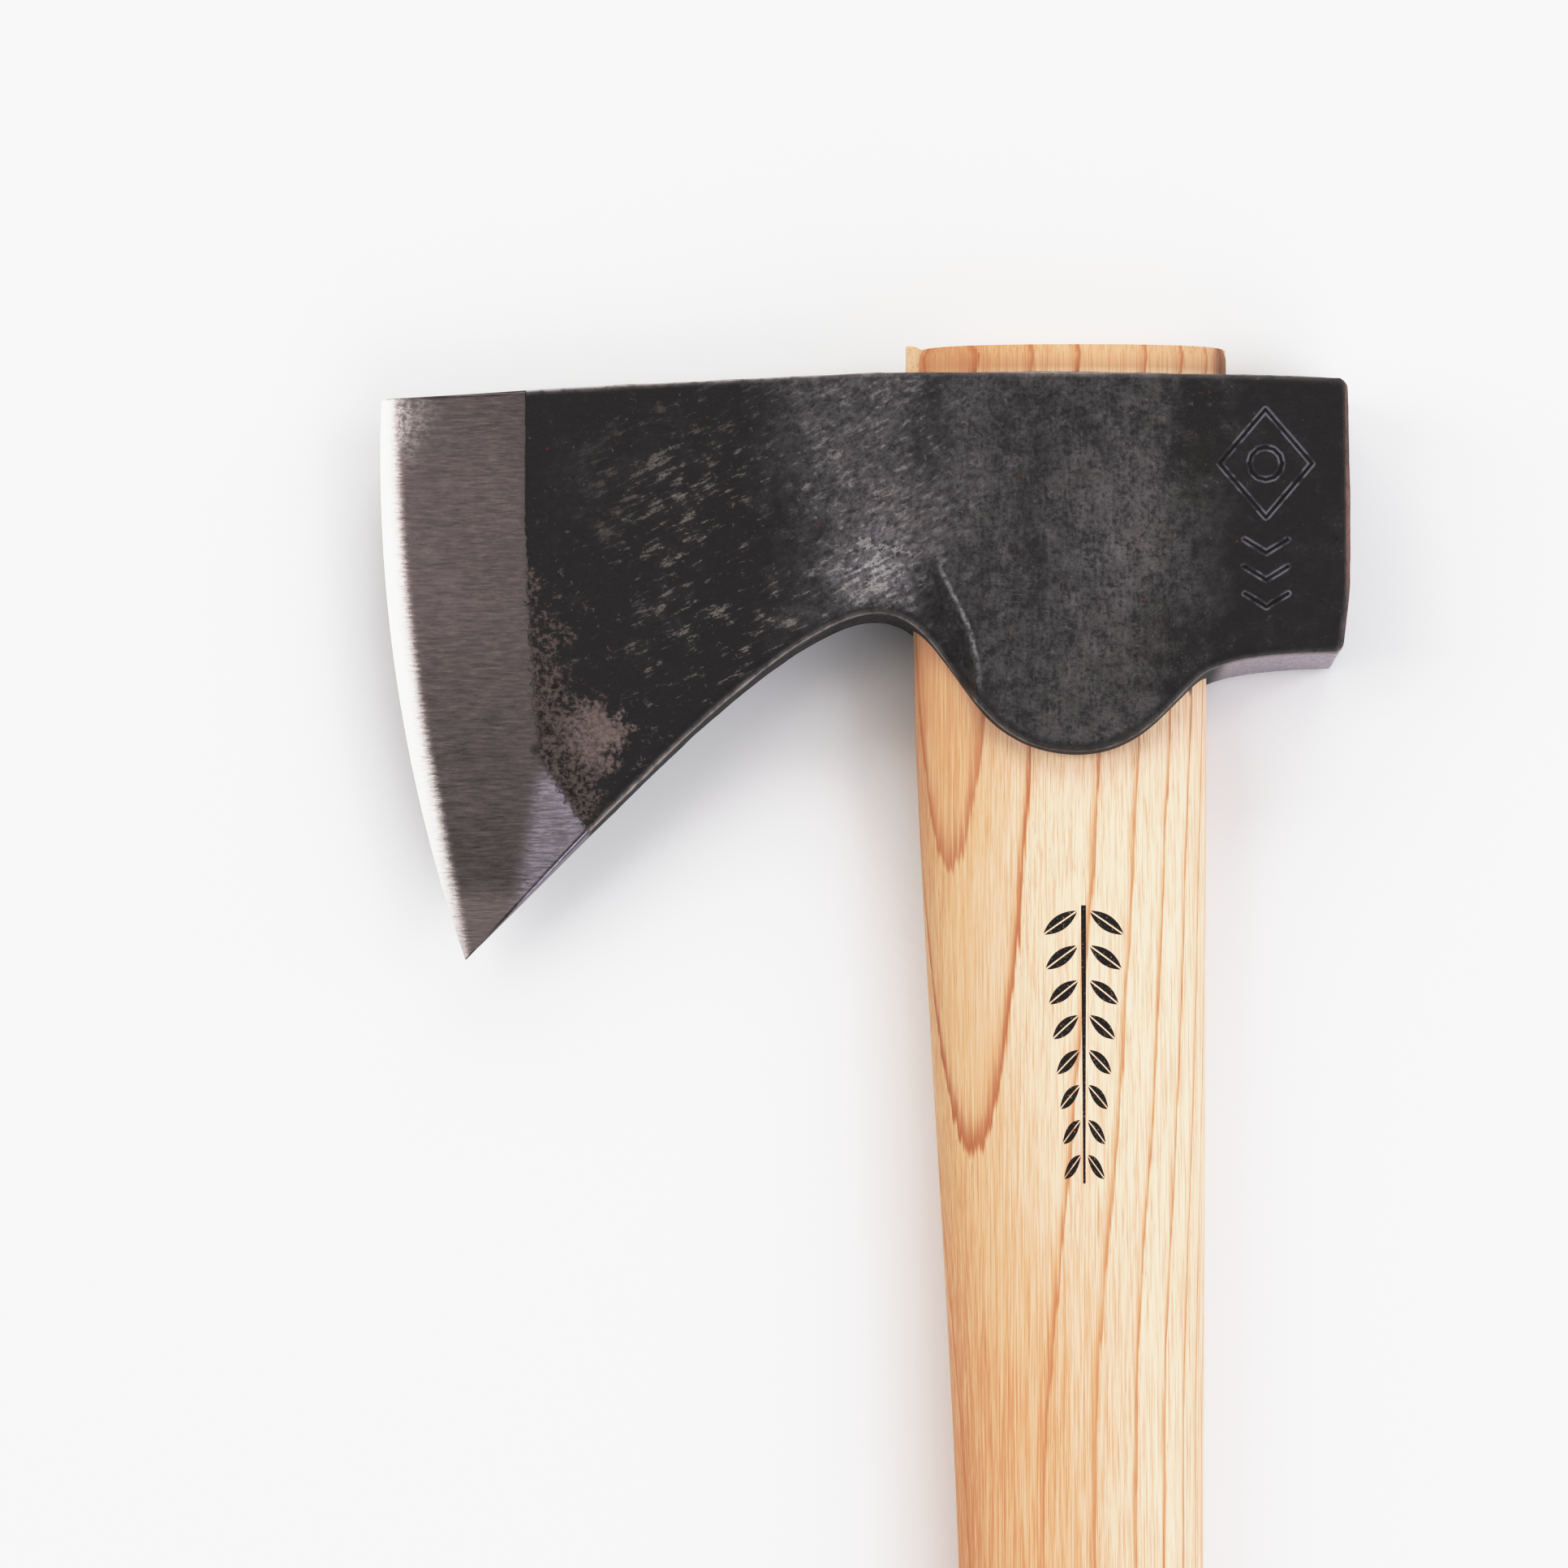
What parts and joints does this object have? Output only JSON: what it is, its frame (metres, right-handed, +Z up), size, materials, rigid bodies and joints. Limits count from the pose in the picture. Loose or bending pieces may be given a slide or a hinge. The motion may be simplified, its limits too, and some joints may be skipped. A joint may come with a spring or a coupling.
{
  "type": "broad axe",
  "caption": "One-hand broad axe lying on its side: forged bearded head with a curved double-bevelled edge, square poll and lugs, wedged on a straight wooden haft.",
  "frame": {"origin": "middle of the bounding box in X and Y, on the surface that the axe lies on", "axes": "+X from the cutting edge to the poll, +Y along the haft from the knob to the eye's top, +Z up through the cheeks, away from the surface it lies on"},
  "size_m": [0.179, 0.386, 0.031],
  "materials": {
    "forged_steel": "black forge scale on cheeks and poll, satin ground bevels and a bright honed edge",
    "haft_wood": "oiled pale hardwood with brown ring lines",
    "wedge_wood": "sawn pale hardwood, unfinished",
    "wedge_steel": "plain mild steel, hammer-marked on top"
  },
  "bodies": {
    "root": {"head": "forged_steel", "haft": "haft_wood", "wood_wedge": "wedge_wood", "steel_wedge": "wedge_steel"}
  },
  "joints": []
}
